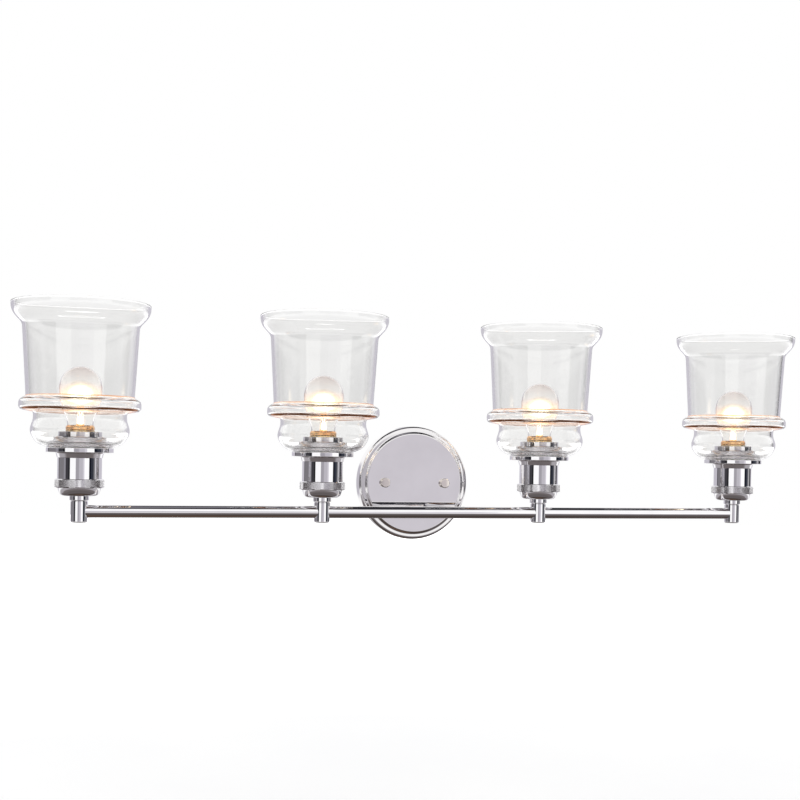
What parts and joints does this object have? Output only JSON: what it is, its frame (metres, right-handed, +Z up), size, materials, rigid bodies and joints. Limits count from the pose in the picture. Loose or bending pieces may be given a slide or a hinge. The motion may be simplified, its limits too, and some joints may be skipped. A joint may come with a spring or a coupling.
{
  "type": "vanity light bar",
  "caption": "Wall-mounted chrome light bar: round stepped canopy, short arms, and a long bar with upright lamps in bell-shaped clear glass shades.",
  "frame": {"origin": "centre of the canopy's back, in the plane of the wall", "axes": "+X along the bar, +Y into the wall (the front faces -Y), +Z up"},
  "size_m": [0.8686, 0.1488, 0.2374],
  "materials": {
    "chrome": "polished chrome plate",
    "zinc_steel": "zinc plated steel",
    "brass": "stamped brass",
    "clear_glass": "clear blown glass",
    "bulb_glass": "thin clear glass",
    "porcelain": "unglazed white porcelain",
    "solder": "dull solder",
    "filament": "glowing tungsten coil on a clear glass mount",
    "green_screw": "green passivated screw",
    "wire_jacket": "white heat-proof wire sleeve",
    "connector": "orange moulded connector"
  },
  "bodies": {
    "fixture": {"bar": "chrome", "canopy": "chrome", "arms": "chrome", "arm_nuts": "zinc_steel", "mounting_strap": "zinc_steel", "studs": "zinc_steel", "ground_screw": "green_screw", "centre_contacts": "brass", "wiring_harness": "wire_jacket", "wire_connectors": "connector", "stem_1": "chrome", "stem_2": "chrome", "stem_3": "chrome", "stem_4": "chrome", "socket_cup_1": "chrome", "socket_cup_2": "chrome", "socket_cup_3": "chrome", "socket_cup_4": "chrome", "knurled_band_1": "chrome", "knurled_band_2": "chrome", "knurled_band_3": "chrome", "knurled_band_4": "chrome", "insulator_1": "porcelain", "insulator_2": "porcelain", "insulator_3": "porcelain", "insulator_4": "porcelain", "screw_shell_1": "brass", "screw_shell_2": "brass", "screw_shell_3": "brass", "screw_shell_4": "brass", "shade_seat_1": "chrome", "shade_seat_2": "chrome", "shade_seat_3": "chrome", "shade_seat_4": "chrome"},
    "bulb_rise_1": {"bulb_tip_1": "solder"},
    "bulb_1": {"bulb_base_1": "brass", "bulb_glass_1": "bulb_glass", "bulb_filament_1": "filament"},
    "shade_1": {"glass_shade_1": "clear_glass"},
    "ring_1": {"retaining_ring_1": "chrome"},
    "bulb_rise_2": {"bulb_tip_2": "solder"},
    "bulb_2": {"bulb_base_2": "brass", "bulb_glass_2": "bulb_glass", "bulb_filament_2": "filament"},
    "shade_2": {"glass_shade_2": "clear_glass"},
    "ring_2": {"retaining_ring_2": "chrome"},
    "bulb_rise_3": {"bulb_tip_3": "solder"},
    "bulb_3": {"bulb_base_3": "brass", "bulb_glass_3": "bulb_glass", "bulb_filament_3": "filament"},
    "shade_3": {"glass_shade_3": "clear_glass"},
    "ring_3": {"retaining_ring_3": "chrome"},
    "bulb_rise_4": {"bulb_tip_4": "solder"},
    "bulb_4": {"bulb_base_4": "brass", "bulb_glass_4": "bulb_glass", "bulb_filament_4": "filament"},
    "shade_4": {"glass_shade_4": "clear_glass"},
    "ring_4": {"retaining_ring_4": "chrome"},
    "cap_nut_left_body": {"cap_nut_left": "chrome"},
    "cap_nut_right_body": {"cap_nut_right": "chrome"}
  },
  "joints": [
    {"name": "bulb_1_rise", "type": "slide", "parent": "fixture", "child": "bulb_rise_1", "axis": [0, 0, 1], "range_m": [0, 0.01542]},
    {"name": "bulb_1_unscrew", "type": "hinge", "parent": "bulb_rise_1", "child": "bulb_1", "pos_m": [-0.3675, -0.082, 0.03], "axis": [0, 0, 1], "range_deg": [0, 1530]},
    {"name": "shade_1_lift", "type": "slide", "parent": "fixture", "child": "shade_1", "axis": [0, 0, 1], "range_m": [0, 0.095]},
    {"name": "ring_1_unscrew", "type": "hinge", "parent": "shade_1", "child": "ring_1", "pos_m": [-0.3675, -0.082, 0.039], "axis": [0, 0, 1], "range_deg": [0, 1890]},
    {"name": "bulb_2_rise", "type": "slide", "parent": "fixture", "child": "bulb_rise_2", "axis": [0, 0, 1], "range_m": [0, 0.01542]},
    {"name": "bulb_2_unscrew", "type": "hinge", "parent": "bulb_rise_2", "child": "bulb_2", "pos_m": [-0.1225, -0.082, 0.03], "axis": [0, 0, 1], "range_deg": [0, 1530]},
    {"name": "shade_2_lift", "type": "slide", "parent": "fixture", "child": "shade_2", "axis": [0, 0, 1], "range_m": [0, 0.095]},
    {"name": "ring_2_unscrew", "type": "hinge", "parent": "shade_2", "child": "ring_2", "pos_m": [-0.1225, -0.082, 0.039], "axis": [0, 0, 1], "range_deg": [0, 1890]},
    {"name": "bulb_3_rise", "type": "slide", "parent": "fixture", "child": "bulb_rise_3", "axis": [0, 0, 1], "range_m": [0, 0.01542]},
    {"name": "bulb_3_unscrew", "type": "hinge", "parent": "bulb_rise_3", "child": "bulb_3", "pos_m": [0.1225, -0.082, 0.03], "axis": [0, 0, 1], "range_deg": [0, 1530]},
    {"name": "shade_3_lift", "type": "slide", "parent": "fixture", "child": "shade_3", "axis": [0, 0, 1], "range_m": [0, 0.095]},
    {"name": "ring_3_unscrew", "type": "hinge", "parent": "shade_3", "child": "ring_3", "pos_m": [0.1225, -0.082, 0.039], "axis": [0, 0, 1], "range_deg": [0, 1890]},
    {"name": "bulb_4_rise", "type": "slide", "parent": "fixture", "child": "bulb_rise_4", "axis": [0, 0, 1], "range_m": [0, 0.01542]},
    {"name": "bulb_4_unscrew", "type": "hinge", "parent": "bulb_rise_4", "child": "bulb_4", "pos_m": [0.3675, -0.082, 0.03], "axis": [0, 0, 1], "range_deg": [0, 1530]},
    {"name": "shade_4_lift", "type": "slide", "parent": "fixture", "child": "shade_4", "axis": [0, 0, 1], "range_m": [0, 0.095]},
    {"name": "ring_4_unscrew", "type": "hinge", "parent": "shade_4", "child": "ring_4", "pos_m": [0.3675, -0.082, 0.039], "axis": [0, 0, 1], "range_deg": [0, 1890]},
    {"name": "cap_nut_left_unscrew", "type": "hinge", "parent": "fixture", "child": "cap_nut_left_body", "pos_m": [-0.035, -0.019, 0], "axis": [0, -1, 0], "range_deg": [0, 2250]},
    {"name": "cap_nut_right_unscrew", "type": "hinge", "parent": "fixture", "child": "cap_nut_right_body", "pos_m": [0.035, -0.019, 0], "axis": [0, -1, 0], "range_deg": [0, 2250]}
  ],
  "couplings": [
    {"joint": "bulb_1_unscrew", "follows": "bulb_1_rise", "rad_per_m": 1730.9},
    {"joint": "bulb_2_unscrew", "follows": "bulb_2_rise", "rad_per_m": 1730.9},
    {"joint": "bulb_3_unscrew", "follows": "bulb_3_rise", "rad_per_m": 1730.9},
    {"joint": "bulb_4_unscrew", "follows": "bulb_4_rise", "rad_per_m": 1730.9}
  ]
}
